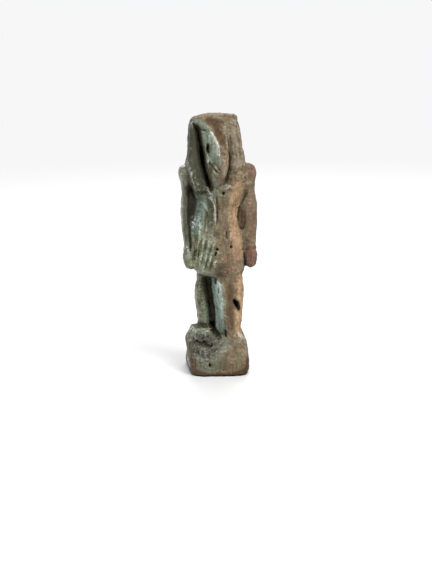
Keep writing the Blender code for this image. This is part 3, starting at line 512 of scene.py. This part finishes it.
class Skin:
    """The fine mesh's points and normals in millimetres, and the dirt that the tools leave on it."""

    def __init__(self, mesh):
        self.mesh = mesh
        count = len(mesh.vertices)
        points = np.empty(count * 3, dtype=np.float32)
        mesh.vertices.foreach_get("co", points)
        self.points = points.reshape(-1, 3).astype(float) / MM
        edges = np.empty(len(mesh.edges) * 2, dtype=np.int32)
        mesh.edges.foreach_get("vertices", edges)
        self.edges = edges.reshape(-1, 2)
        self.neighbours = np.bincount(edges, minlength=count)
        self.dirt = np.zeros(count)
        self.read_normals()

    def read_normals(self):
        """Takes the normals from the mesh."""
        normals = np.empty(len(self.points) * 3, dtype=np.float32)
        self.mesh.vertex_normals.foreach_get("vector", normals)
        self.normals = normals.reshape(-1, 3).astype(float)

    def write(self):
        """Gives the mesh the points as they are now."""
        self.mesh.vertices.foreach_set("co", (self.points * MM).astype(np.float32).ravel())
        self.mesh.update()
        self.read_normals()

    def averaged(self, values, passes):
        """The values, one row a point, evened out with their neighbours."""
        first, second = self.edges.T
        count = len(values)
        for _ in range(passes):
            around = np.empty_like(values)
            for column in range(values.shape[1]):
                row = values[:, column]
                total = np.bincount(first, row[second], count) + np.bincount(second, row[first], count)
                around[:, column] = total / self.neighbours
            values = (values + around) / 2
        return values

    def hollowness(self, passes):
        """How far each point lies below the surface averaged around it, in millimetres."""
        return np.einsum("ij,ij->i", self.averaged(self.points, passes) - self.points, self.normals)

    def noise(self, grain, seed, octaves=3):
        """Smooth noise over the surface, about -1 to 1."""
        shift = Vector([seed * step for step in SEED_STEPS])
        return np.array([
            noise.fractal(Vector(point) / grain + shift, FRACTAL_DIMENSION, FRACTAL_STEP, octaves)
            for point in self.points
        ])


def press_axes(direction):
    """The two axes that a tool pressed in this direction sees, and the direction as a vector."""
    axis = {"x": 0, "y": 1}[direction[-1]]
    push = np.zeros(3)
    push[axis] = -1.0 if direction[0] == "-" else 1.0
    return (0, 2) if axis == 1 else (1, 2), push


def press(skin, near, mark, depth, dirt, push):
    """Moves the chosen points by the tool's mark, where the surface faces the tool."""
    mark = mark * np.clip(-skin.normals[near] @ push * FACING_RISE, 0.0, 1.0)
    skin.points[near] += (depth * mark)[:, None] * push
    skin.dirt[near] += dirt * mark


def press_stroke(skin, stroke, direction="+y"):
    """Presses a channel or raises a ridge along a path, fading towards its two ends."""
    path, width, depth, dirt = stroke
    axes, push = press_axes(direction)
    flat = skin.points[:, axes]
    curve = smooth_path(path)
    inside = (flat > curve.min(axis=0) - width) & (flat < curve.max(axis=0) + width)
    near = np.flatnonzero(inside.all(axis=1))
    distance, along = path_distance(flat[near], curve)
    profile = np.cos(np.clip(distance / width, 0.0, 1.0) * math.pi / 2) ** 2
    ends = np.clip(np.minimum(along, 1 - along) * END_RISE + END_SHARE, 0.0, 1.0)
    press(skin, near, profile * ends, depth, dirt, push)


def press_pit(skin, pit, direction="+y"):
    """Presses an oval hollow, or raises a knob where its depth is below 0."""
    across, up, half_width, half_height, tilt, depth = pit
    axes, push = press_axes(direction)
    offset = skin.points[:, axes] - (across, up)
    turn = math.radians(tilt)
    u = offset[:, 0] * math.cos(turn) + offset[:, 1] * math.sin(turn)
    v = -offset[:, 0] * math.sin(turn) + offset[:, 1] * math.cos(turn)
    mark = fade(np.hypot(u / half_width, v / half_height), *PIT_FADE)
    near = np.flatnonzero(mark > 0)
    press(skin, near, mark[near], depth, PIT_DIRT if depth > 0 else 0.0, push)


def pleat_lines(step):
    """The lines beside the pleats, this far across from each."""
    return [tuple((across + step, up) for across, up in line) for line in zip(PLEAT_TOPS, PLEAT_FEET)]


def press_pleats(skin):
    """The grooves and ridges of the kilt's pleats."""
    for step, mark in PLEAT_MARKS:
        for line in pleat_lines(step):
            press_stroke(skin, (line, *mark))


def press_tools(skin):
    """All the carved and pressed lines, from the front, the sides and the back."""
    for stroke in FRONT_STROKES.values():
        press_stroke(skin, stroke)
    press_pleats(skin)
    for pit in (*FRONT_PITS.values(), *FRONT_KNOBS.values(), RIGHT_EYE):
        press_pit(skin, pit)
    press_pit(skin, LEFT_EYE, "-x")
    press_stroke(skin, LEFT_EYE_RIM, "-x")
    press_stroke(skin, BEAK_GAPE, "-x")
    for direction in ("+x", "-x"):
        for stroke in SIDE_STROKES.values():
            press_stroke(skin, stroke, direction)
    for stroke in BACK_STROKES.values():
        press_stroke(skin, stroke, "-y")
    skin.write()


def press_bubbles(skin):
    """Small round holes at seeded places on the surface."""
    chosen = np.random.default_rng(BUBBLE_SEED)
    for index in chosen.integers(0, len(skin.points), BUBBLES):
        radius = chosen.uniform(*BUBBLE_RADII)
        middle, normal = skin.points[index], skin.normals[index]
        distance = np.linalg.norm(skin.points - middle, axis=1)
        mark = fade(distance / radius, *BUBBLE_FADE)
        skin.points -= (radius * BUBBLE_DEPTH * mark)[:, None] * normal
        skin.dirt += BUBBLE_DIRT * mark


def patch(skin, middle, half_size):
    """1 at the middle of an oval patch, falling to 0 a little beyond its half sizes."""
    offset = (skin.points - middle) / half_size
    return fade(np.linalg.norm(offset, axis=1), *STAIN_FADE)


def streak(skin, path, width):
    """1 along a path seen from the front, falling to 0 a little beyond its half width."""
    distance, _ = path_distance(skin.points[:, (0, 2)], smooth_path(path))
    front = smooth_step(STREAK_REACH - skin.points[:, 1]) * smooth_step(1.0 - skin.normals[:, 1])
    return fade(distance / width, *STAIN_FADE) * front


def roughen(skin):
    """The unevenness all over, the torn surface of the break, and the burst bubbles."""
    height = np.zeros(len(skin.points))
    for grain, lift, seed, octaves in UNEVENNESS.values():
        height += lift * skin.noise(grain, seed, octaves)
    broken = patch(skin, BREAK_MIDDLE, BREAK_HALF_SIZE)
    height += BREAK_HEIGHT * broken * skin.noise(BREAK_GRAIN, BREAK_SEED)
    skin.points += height[:, None] * skin.normals
    skin.write()
    press_bubbles(skin)


def wear_foot(skin):
    """Rubs back the lower edge of the base, unevenly."""
    across, depth, height = skin.points.T
    low = smooth_step(1.0 - height / FOOT_WEAR_HEIGHT)
    rim = 1.0 - np.abs(skin.normals[:, 2])
    worn = FOOT_WEAR * low * rim * (1.0 + skin.noise(FOOT_WEAR_GRAIN, FOOT_WEAR_SEED))
    skin.points[:, :2] *= (1.0 - worn / np.hypot(across, depth))[:, None]


def keep_flats(skin):
    """The underside and the back of the pillar stay in their planes."""
    skin.points[:, 2] = np.maximum(skin.points[:, 2], 0.0)
    pillar = skin.points[:, 2] > PILLAR_FOOT
    skin.points[pillar, 1] = np.minimum(skin.points[pillar, 1], PILLAR_BACK)
    skin.write()


def glaze_mask(skin):
    """Where the glaze is kept: the figure's right in front, and the hollows behind."""
    across, depth, height = skin.points.T
    heights, edges = np.array(GLAZE_EDGE).T
    stray = GLAZE_STRAY * skin.noise(GLAZE_GRAIN, GLAZE_SEED)
    front = rise((np.interp(height, heights, edges) - across + stray) / GLAZE_FADE)
    patches = BACK_PATCHES * skin.noise(BACK_GRAIN, BACK_SEED)
    back = rise(patches + BACK_HOLLOWS * skin.hollowness(BACK_PASSES))
    share = smooth_step((depth - BACK_START) / BACK_FADE)
    return front * (1 - share) + back * share


def store(skin, name, values):
    """Keeps a mask on the mesh for the material to read."""
    layer = skin.mesh.attributes.new(name, "FLOAT", "POINT")
    layer.data.foreach_set("value", np.clip(values, 0.0, 1.0).astype(np.float32))


def patch_marks(skin, table):
    """The marks of a table's patches, each at its own strength."""
    return [strength * patch(skin, middle, half_size) for middle, half_size, strength in table.values()]


def streak_marks(skin, table):
    """The marks of a table's streaks, each at its own strength."""
    return [strength * streak(skin, path, width) for path, width, strength in table.values()]


def paint_masks(skin):
    """The masks for glaze, each tone (painted shade and painted highlights among them), painted glints, dirt
    in the hollows and wear on the edges.
    """
    store(skin, "glaze", glaze_mask(skin))
    for tone, table in PATCHES.items():
        marks = patch_marks(skin, table) + streak_marks(skin, STREAKS.get(tone, {}))
        if tone == PLEAT_TONE:
            marks += [PLEAT_LIGHT * streak(skin, path, PLEAT_WIDTH) for path in pleat_lines(PLEAT_RIDGE)]
        store(skin, tone, np.max(marks, axis=0))
    store(skin, "painted_glint", np.max(patch_marks(skin, PAINTED_GLINTS), axis=0))
    fine, broad = skin.hollowness(FINE_PASSES), skin.hollowness(BROAD_PASSES)
    store(skin, "dirt", TOOL_DIRT * skin.dirt + FINE_DIRT * fine + BROAD_DIRT * broad - LESS_DIRT)
    store(skin, "worn", -FINE_WEAR * fine - BROAD_WEAR * broad)


def apply_modifiers(piece):
    """Makes the modified shape the piece's own mesh."""
    graph = bpy.context.evaluated_depsgraph_get()
    mesh = bpy.data.meshes.new_from_object(piece.evaluated_get(graph))
    piece.modifiers.clear()
    old = piece.data
    piece.data = mesh
    bpy.data.meshes.remove(old)
    mesh.name = piece.name


def fine_mesh(node):
    """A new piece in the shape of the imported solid, with a fine even mesh."""
    bm = bmesh.new()
    bm.from_mesh(node.data)
    bmesh.ops.remove_doubles(bm, verts=bm.verts, dist=WELD * MM)
    mesh = bpy.data.meshes.new(PIECE)
    bm.to_mesh(mesh)
    bm.free()
    piece = bpy.data.objects.new(PIECE, mesh)
    bpy.context.scene.collection.objects.link(piece)
    remesh = piece.modifiers.new("Fine mesh", "REMESH")
    remesh.mode = "VOXEL"
    remesh.voxel_size = VOXEL * MM
    soften = piece.modifiers.new("Soften", "SMOOTH")
    soften.factor = SOFTEN_SHARE
    soften.iterations = SOFTEN_PASSES
    apply_modifiers(piece)
    return piece


def make_skin(node):
    """The worked skin that stands for the solid."""
    piece = fine_mesh(node)
    skin = Skin(piece.data)
    press_tools(skin)
    roughen(skin)
    wear_foot(skin)
    keep_flats(skin)
    paint_masks(skin)
    piece.data.shade_smooth()
    return piece


def linear(red, green, blue):
    """A screen colour, 0 to 255 a channel, as the linear colour that shaders take."""
    channels = (value / 255 for value in (red, green, blue))
    return (*(c / 12.92 if c <= 0.04045 else ((c + 0.055) / 1.055) ** 2.4 for c in channels), 1.0)


class Nodes:
    """Short ways to add the nodes of one material."""

    def __init__(self, name):
        self.material = bpy.data.materials.new(name)
        self.material.use_nodes = True
        self.tree = self.material.node_tree
        self.shader = self.tree.nodes["Principled BSDF"]

    def add(self, kind, **settings):
        """A new node with its settings."""
        node = self.tree.nodes.new(kind)
        for key, value in settings.items():
            setattr(node, key, value)
        return node

    def link(self, output, socket):
        """Joins an output to a socket."""
        self.tree.links.new(output, socket)

    def set(self, socket, value):
        """Links an output to a socket, or gives the socket a plain value."""
        if isinstance(value, bpy.types.NodeSocket):
            self.link(value, socket)
        else:
            socket.default_value = value

    def mask(self, name):
        """A mask that the skin keeps."""
        return self.add("ShaderNodeAttribute", attribute_name=name).outputs["Fac"]

    def math(self, operation, first, second):
        """One operation on two values."""
        node = self.add("ShaderNodeMath", operation=operation)
        self.set(node.inputs[0], first)
        self.set(node.inputs[1], second)
        return node.outputs[0]

    def sum(self, parts, weights):
        """The parts added up, each times its weight."""
        total = 0.0
        for part, weight in zip(parts, weights):
            node = self.add("ShaderNodeMath", operation="MULTIPLY_ADD")
            self.set(node.inputs[0], part)
            self.set(node.inputs[1], weight)
            self.set(node.inputs[2], total)
            total = node.outputs[0]
        return total

    def highest(self, value, shares):
        """The highest of the value and these tones' masks, each times its share."""
        for tone, share in shares.items():
            value = self.math("MAXIMUM", value, self.math("MULTIPLY", self.mask(tone), share))
        return value

    def places(self):
        """The piece's own coordinates in millimetres."""
        scaled = self.add("ShaderNodeVectorMath", operation="SCALE")
        self.link(self.add("ShaderNodeTexCoord").outputs["Object"], scaled.inputs[0])
        scaled.inputs["Scale"].default_value = 1 / MM
        return scaled.outputs[0]

    def drawn_out(self, places, stretch):
        """The places squeezed upwards, so that a noise read there is drawn out into strands."""
        squeezed = self.add("ShaderNodeVectorMath", operation="MULTIPLY")
        self.link(places, squeezed.inputs[0])
        squeezed.inputs[1].default_value = (1.0, 1.0, 1.0 / stretch)
        return squeezed.outputs[0]

    def ramp(self, value, low, high):
        """0 where the value is at low and 1 where it is at high, smooth between."""
        node = self.add("ShaderNodeMapRange", interpolation_type="SMOOTHSTEP")
        self.link(value, node.inputs["Value"])
        node.inputs["From Min"].default_value = low
        node.inputs["From Max"].default_value = high
        return node.outputs["Result"]

    def spots(self, places, grain, detail, roughness, low, high):
        """Noise of this grain, made sharper: 0 where it is at low and 1 where it is at high."""
        node = self.add("ShaderNodeTexNoise")
        self.link(places, node.inputs["Vector"])
        node.inputs["Scale"].default_value = 1 / grain
        node.inputs["Detail"].default_value = detail
        node.inputs["Roughness"].default_value = roughness
        return self.ramp(node.outputs["Fac"], low, high)

    def spread(self, name, ragged, low, high):
        """A mask with a ragged edge: 0 where the two add up to low and 1 where to high."""
        return self.ramp(self.math("ADD", self.mask(name), ragged), low, high)

    def bump(self, height, depth):
        """A normal roughened by the height, which stands for this many millimetres."""
        node = self.add("ShaderNodeBump")
        node.inputs["Distance"].default_value = depth * MM
        self.link(height, node.inputs["Height"])
        return node.outputs["Normal"]

    def mix(self, factor, first, second):
        """The first colour at factor 0 and the second at 1."""
        node = self.add("ShaderNodeMix", data_type="RGBA")
        self.set(node.inputs["Factor"], factor)
        self.set(node.inputs["A"], first)
        self.set(node.inputs["B"], second)
        return node.outputs["Result"]

    def over(self, colour, upper, share, strength):
        """The colour with an upper one over it, by the share times the strength."""
        return self.mix(self.math("MULTIPLY", share, strength), colour, upper)


# Each tone's darker and lighter colours
TONES = {
    "body": (linear(46, 37, 24), linear(121, 104, 77)),
    "glaze": (linear(46, 48, 32), linear(108, 110, 82)),
    "olive": (linear(21, 23, 11), linear(50, 54, 31)),
    "teal": (linear(56, 66, 51), linear(124, 137, 117)),
    "sage": (linear(73, 76, 50), linear(140, 141, 107)),
    "aqua": (linear(114, 130, 118), linear(178, 196, 184)),
    "orange": (linear(100, 75, 51), linear(168, 138, 105)),
    "buff": (linear(64, 57, 46), linear(146, 133, 113)),
    "rust": (linear(50, 32, 26), linear(124, 90, 74)),
    "umber": (linear(32, 21, 12), linear(92, 64, 41)),
    "ashen": (linear(23, 23, 21), linear(103, 101, 93)),
    # pale: painted highlights, partly pale worn glaze
    "pale": (linear(124, 126, 113), linear(194, 197, 186)),
    # shade: painted shade and shadow, and dark mottling
    "shade": (linear(18, 17, 12), linear(46, 44, 33)),
}
# Flecks of other colours all over: colour, grain and strength
FLECKS = (
    (linear(84, 56, 50), 0.75, 0.35),
    (linear(80, 78, 42), 0.9, 0.35),
    (linear(116, 118, 102), 0.5, 0.2),
)
SOIL = linear(44, 38, 26)
GRIME = linear(17, 15, 10)
EDGE_LIGHT = linear(168, 164, 140)
# The colour of the painted glints
PAINTED_GLINT = linear(202, 211, 212)

# Noises: grain in millimetres, detail, roughness, and the noise where the spots are 0 and 1
MOTTLE = (1.3, 6.0, 0.65, 0.36, 0.64)
SPECKLE = (0.42, 5.0, 0.7, 0.36, 0.64)
GRIT = (0.18, 3.0, 0.6, 0.4, 0.6)
STRANDS = (0.3, 3.0, 0.6, 0.38, 0.62)
STRAND_STRETCH = 5.0
DARK_SPECKS = (0.5, 3.0, 0.6, 0.34, 0.26)
# The spots of the painted glints
PAINTED_GLINT_SPOTS = (0.26, 2.0, 0.6, 0.54, 0.64)
# The flecks' noise, without its grain
FLECK_NOISE = (5.0, 0.7, 0.48, 0.62)

# What mixes a tone's two colours: the shares of mottle, speckle, strands and grit
BLEND_SHARES = (0.25, 0.25, 0.25, 0.25)
# What makes the edges of the masks ragged: the shares of mottle, speckle and grit, and a shift
RAGGED_SHARES = (0.3, 0.35, 0.15, -0.4)
DIRT_RAGGEDNESS = 0.5

# Where a mask, with its ragged edge, counts as 0 and as 1, and how strongly its colour covers
GLAZE_RANGE = (0.1, 0.9)
TONE_RANGE, TONE_STRENGTH = (0.15, 1.0), 0.92
WORN_RANGE, WORN_STRENGTH = (0.5, 1.2), 0.45
DIRT_RANGE, SPECK_STRENGTH = (0.1, 0.9), 0.6
GRIME_RANGE, GRIME_STRENGTH = (0.6, 1.1), 0.9
# How far some tones keep the edges from looking rubbed, and how far some take the gloss away
UNWORN = {"ashen": 0.8, "olive": 0.8, "sage": 0.8}
DULL = {"ashen": 1.0, "shade": 1.0, "buff": 1.0, "umber": 0.7, "olive": 0.6}

# The gloss: where it makes the roughness 0 and 1, and the most that the sheen and the coat reach
ROUGHNESS_RANGE = (1.6, -0.7)
SHEEN = 0.4
COAT = 0.8
COAT_ROUGHNESS = 0.16
# The roughened normals: the shares of mottle, speckle and grit, and the depth in millimetres
BODY_BUMP, BODY_BUMP_DEPTH = (0.8, 0.8, 0.15), 0.03
COAT_BUMP, COAT_BUMP_DEPTH = (0.8, 1.2, 0.3), 0.04


def tinted(made, places, blend, ragged, glaze):
    """The body's colour, with the glaze, the flecks and every tone over it, painted shade and painted
    highlights among them.
    """
    colour = made.mix(blend, *TONES["body"])
    colour = made.mix(glaze, colour, made.mix(blend, *TONES["glaze"]))
    for fleck, grain, strength in FLECKS:
        colour = made.over(colour, fleck, made.spots(places, grain, *FLECK_NOISE), strength)
    for tone in PATCHES:
        share = made.spread(tone, ragged, *TONE_RANGE)
        colour = made.over(colour, made.mix(blend, *TONES[tone]), share, TONE_STRENGTH)
    return colour


def aged(made, places, ragged, dirt, colour):
    """The colour with rubbed edges, dirt, grime in the deepest places, and painted glints."""
    bare = made.math("SUBTRACT", 1.0, made.highest(0.0, UNWORN))
    worn = made.math("MULTIPLY", made.spread("worn", ragged, *WORN_RANGE), bare)
    colour = made.over(colour, EDGE_LIGHT, worn, WORN_STRENGTH)
    specks = made.math("MULTIPLY", made.spots(places, *DARK_SPECKS), SPECK_STRENGTH)
    colour = made.mix(made.math("MAXIMUM", specks, dirt), colour, SOIL)
    colour = made.over(colour, GRIME, made.ramp(made.mask("dirt"), *GRIME_RANGE), GRIME_STRENGTH)
    return made.over(colour, PAINTED_GLINT, made.spots(places, *PAINTED_GLINT_SPOTS), made.mask("painted_glint"))


def set_gloss(made, glaze, dirt):
    """A glossy coat where the glaze is kept and clean."""
    clean = made.math("SUBTRACT", 1.0, made.highest(dirt, DULL))
    gloss = made.math("MULTIPLY", glaze, clean)
    made.link(made.ramp(gloss, *ROUGHNESS_RANGE), made.shader.inputs["Roughness"])
    made.link(made.math("MULTIPLY", clean, SHEEN), made.shader.inputs["Specular IOR Level"])
    made.link(made.math("MULTIPLY", gloss, COAT), made.shader.inputs["Coat Weight"])
    made.shader.inputs["Coat Roughness"].default_value = COAT_ROUGHNESS


def faience():
    """Old faience: mottled glaze and bare body, stains, dirt in the hollows and rubbed edges, with painted
    shade, painted highlights and painted glints.
    """
    made = Nodes("worn faience")
    places = made.places()
    mottle = made.spots(places, *MOTTLE)
    speckle = made.spots(places, *SPECKLE)
    grit = made.spots(places, *GRIT)
    strands = made.spots(made.drawn_out(places, STRAND_STRETCH), *STRANDS)
    blend = made.sum((mottle, speckle, strands, grit), BLEND_SHARES)
    ragged = made.sum((mottle, speckle, grit, 1.0), RAGGED_SHARES)
    glaze = made.spread("glaze", ragged, *GLAZE_RANGE)
    dirt = made.spread("dirt", made.math("MULTIPLY", ragged, DIRT_RAGGEDNESS), *DIRT_RANGE)

    colour = tinted(made, places, blend, ragged, glaze)
    colour = aged(made, places, ragged, dirt, colour)
    made.link(colour, made.shader.inputs["Base Color"])
    set_gloss(made, glaze, dirt)
    body = made.bump(made.sum((mottle, speckle, grit), BODY_BUMP), BODY_BUMP_DEPTH)
    made.link(body, made.shader.inputs["Normal"])
    coat = made.bump(made.sum((mottle, speckle, grit), COAT_BUMP), COAT_BUMP_DEPTH)
    made.link(coat, made.shader.inputs["Coat Normal"])
    return made.material


# The studio, in metres
FLOOR_SIZE = 3.0
FLOOR_COLOUR = (0.58, 0.58, 0.58, 1.0)
FLOOR_ROUGHNESS = 0.7
# How far from the figure the floor starts to turn into the backdrop's tone, and where it has
FLOOR_FADE = (0.08, 0.4)
DOME_RADIUS = 1.5
BACKDROP = (0.93, 0.93, 0.94, 1.0)
# The strength of the light all round, and the place that the lights face
AMBIENT = 0.42
AIM = (0.0, 0.0, 0.02)
# Lights: azimuth and elevation in degrees, distance, width and height in metres, and power in watts
LIGHTS = {
    "key softbox": (38.0, 38.0, 0.5, 0.3, 0.3, 3.0),
    "side softbox": (-40.0, 30.0, 0.5, 0.08, 0.12, 1.1),
    "top softbox": (0.0, 75.0, 0.5, 0.3, 0.3, 0.8),
    "rear softbox": (170.0, 35.0, 0.6, 0.4, 0.3, 3.0),
}

# The camera, as the figure is seen: a little from its right and from above. Its distance and
# height are in metres, its lens and sensor in millimetres and its turns in degrees.
CAMERA_AZIMUTH = -6.5
CAMERA_DISTANCE = 0.1662
CAMERA_HEIGHT = 0.0461
CAMERA_PITCH = 11.67
CAMERA_ROLL = 0.7
LENS = 67.58
SENSOR = 36.0
CLIP_START, CLIP_END = 0.005, 10.0


def add_floor():
    """A pale floor that turns into the backdrop's tone away from the figure."""
    bpy.ops.mesh.primitive_plane_add(size=FLOOR_SIZE)
    floor = bpy.context.object
    floor.name = "floor"
    made = Nodes("pale floor")
    made.shader.inputs["Base Color"].default_value = FLOOR_COLOUR
    made.shader.inputs["Roughness"].default_value = FLOOR_ROUGHNESS
    length = made.add("ShaderNodeVectorMath", operation="LENGTH")
    made.link(made.add("ShaderNodeTexCoord").outputs["Object"], length.inputs[0])
    glow = made.add("ShaderNodeEmission")
    glow.inputs["Color"].default_value = BACKDROP
    mixed = made.add("ShaderNodeMixShader")
    made.link(made.ramp(length.outputs["Value"], *FLOOR_FADE), mixed.inputs[0])
    made.link(made.shader.outputs[0], mixed.inputs[1])
    made.link(glow.outputs[0], mixed.inputs[2])
    made.link(mixed.outputs[0], made.tree.nodes["Material Output"].inputs["Surface"])
    floor.data.materials.append(made.material)


def add_backdrop():
    """A pale dome behind everything, which gives no light itself, and an even soft light all round."""
    bpy.ops.mesh.primitive_uv_sphere_add(radius=DOME_RADIUS)
    dome = bpy.context.object
    dome.name = "backdrop"
    made = Nodes("pale backdrop")
    glow = made.add("ShaderNodeEmission")
    glow.inputs["Color"].default_value = BACKDROP
    made.link(glow.outputs[0], made.tree.nodes["Material Output"].inputs["Surface"])
    dome.data.materials.append(made.material)
    dome.visible_diffuse = False
    dome.visible_glossy = False
    dome.visible_shadow = False
    world = bpy.data.worlds.new("soft light all round")
    world.use_nodes = True
    world.node_tree.nodes["Background"].inputs["Color"].default_value = BACKDROP
    world.node_tree.nodes["Background"].inputs["Strength"].default_value = AMBIENT
    bpy.context.scene.world = world


def add_lights():
    """Soft rectangular lights around the figure, turned towards it."""
    target = Vector(AIM)
    for name, (azimuth, elevation, distance, width, height, power) in LIGHTS.items():
        data = bpy.data.lights.new(name, "AREA")
        data.shape = "RECTANGLE"
        data.size = width
        data.size_y = height
        data.energy = power
        light = bpy.data.objects.new(name, data)
        bpy.context.scene.collection.objects.link(light)
        turn, lift = math.radians(azimuth), math.radians(elevation)
        away = Vector((math.sin(turn) * math.cos(lift), -math.cos(turn) * math.cos(lift), math.sin(lift)))
        light.location = target + away * distance
        light.rotation_euler = (-away).to_track_quat("-Z", "Y").to_euler()
        light.visible_camera = False


def add_camera():
    """The camera that the figure is seen by."""
    data = bpy.data.cameras.new("camera")
    data.lens = LENS
    data.sensor_width = SENSOR
    data.clip_start = CLIP_START
    data.clip_end = CLIP_END
    camera = bpy.data.objects.new("camera", data)
    bpy.context.scene.collection.objects.link(camera)
    turn = math.radians(CAMERA_AZIMUTH)
    place = Vector((math.sin(turn) * CAMERA_DISTANCE, -math.cos(turn) * CAMERA_DISTANCE, CAMERA_HEIGHT))
    look = Matrix.Rotation(math.radians(90 - CAMERA_PITCH), 4, "X")
    roll = Matrix.Rotation(math.radians(-CAMERA_ROLL), 4, "Z")
    camera.matrix_world = Matrix.Translation(place) @ Matrix.Rotation(turn, 4, "Z") @ look @ roll
    bpy.context.scene.camera = camera


amulet = make_skin(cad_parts[NODE])
amulet.data.materials.clear()
amulet.data.materials.append(faience())
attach(amulet, "root")
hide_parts(NODE)

add_floor()
add_backdrop()
add_lights()
add_camera()
bpy.context.scene.view_settings.view_transform = "Standard"
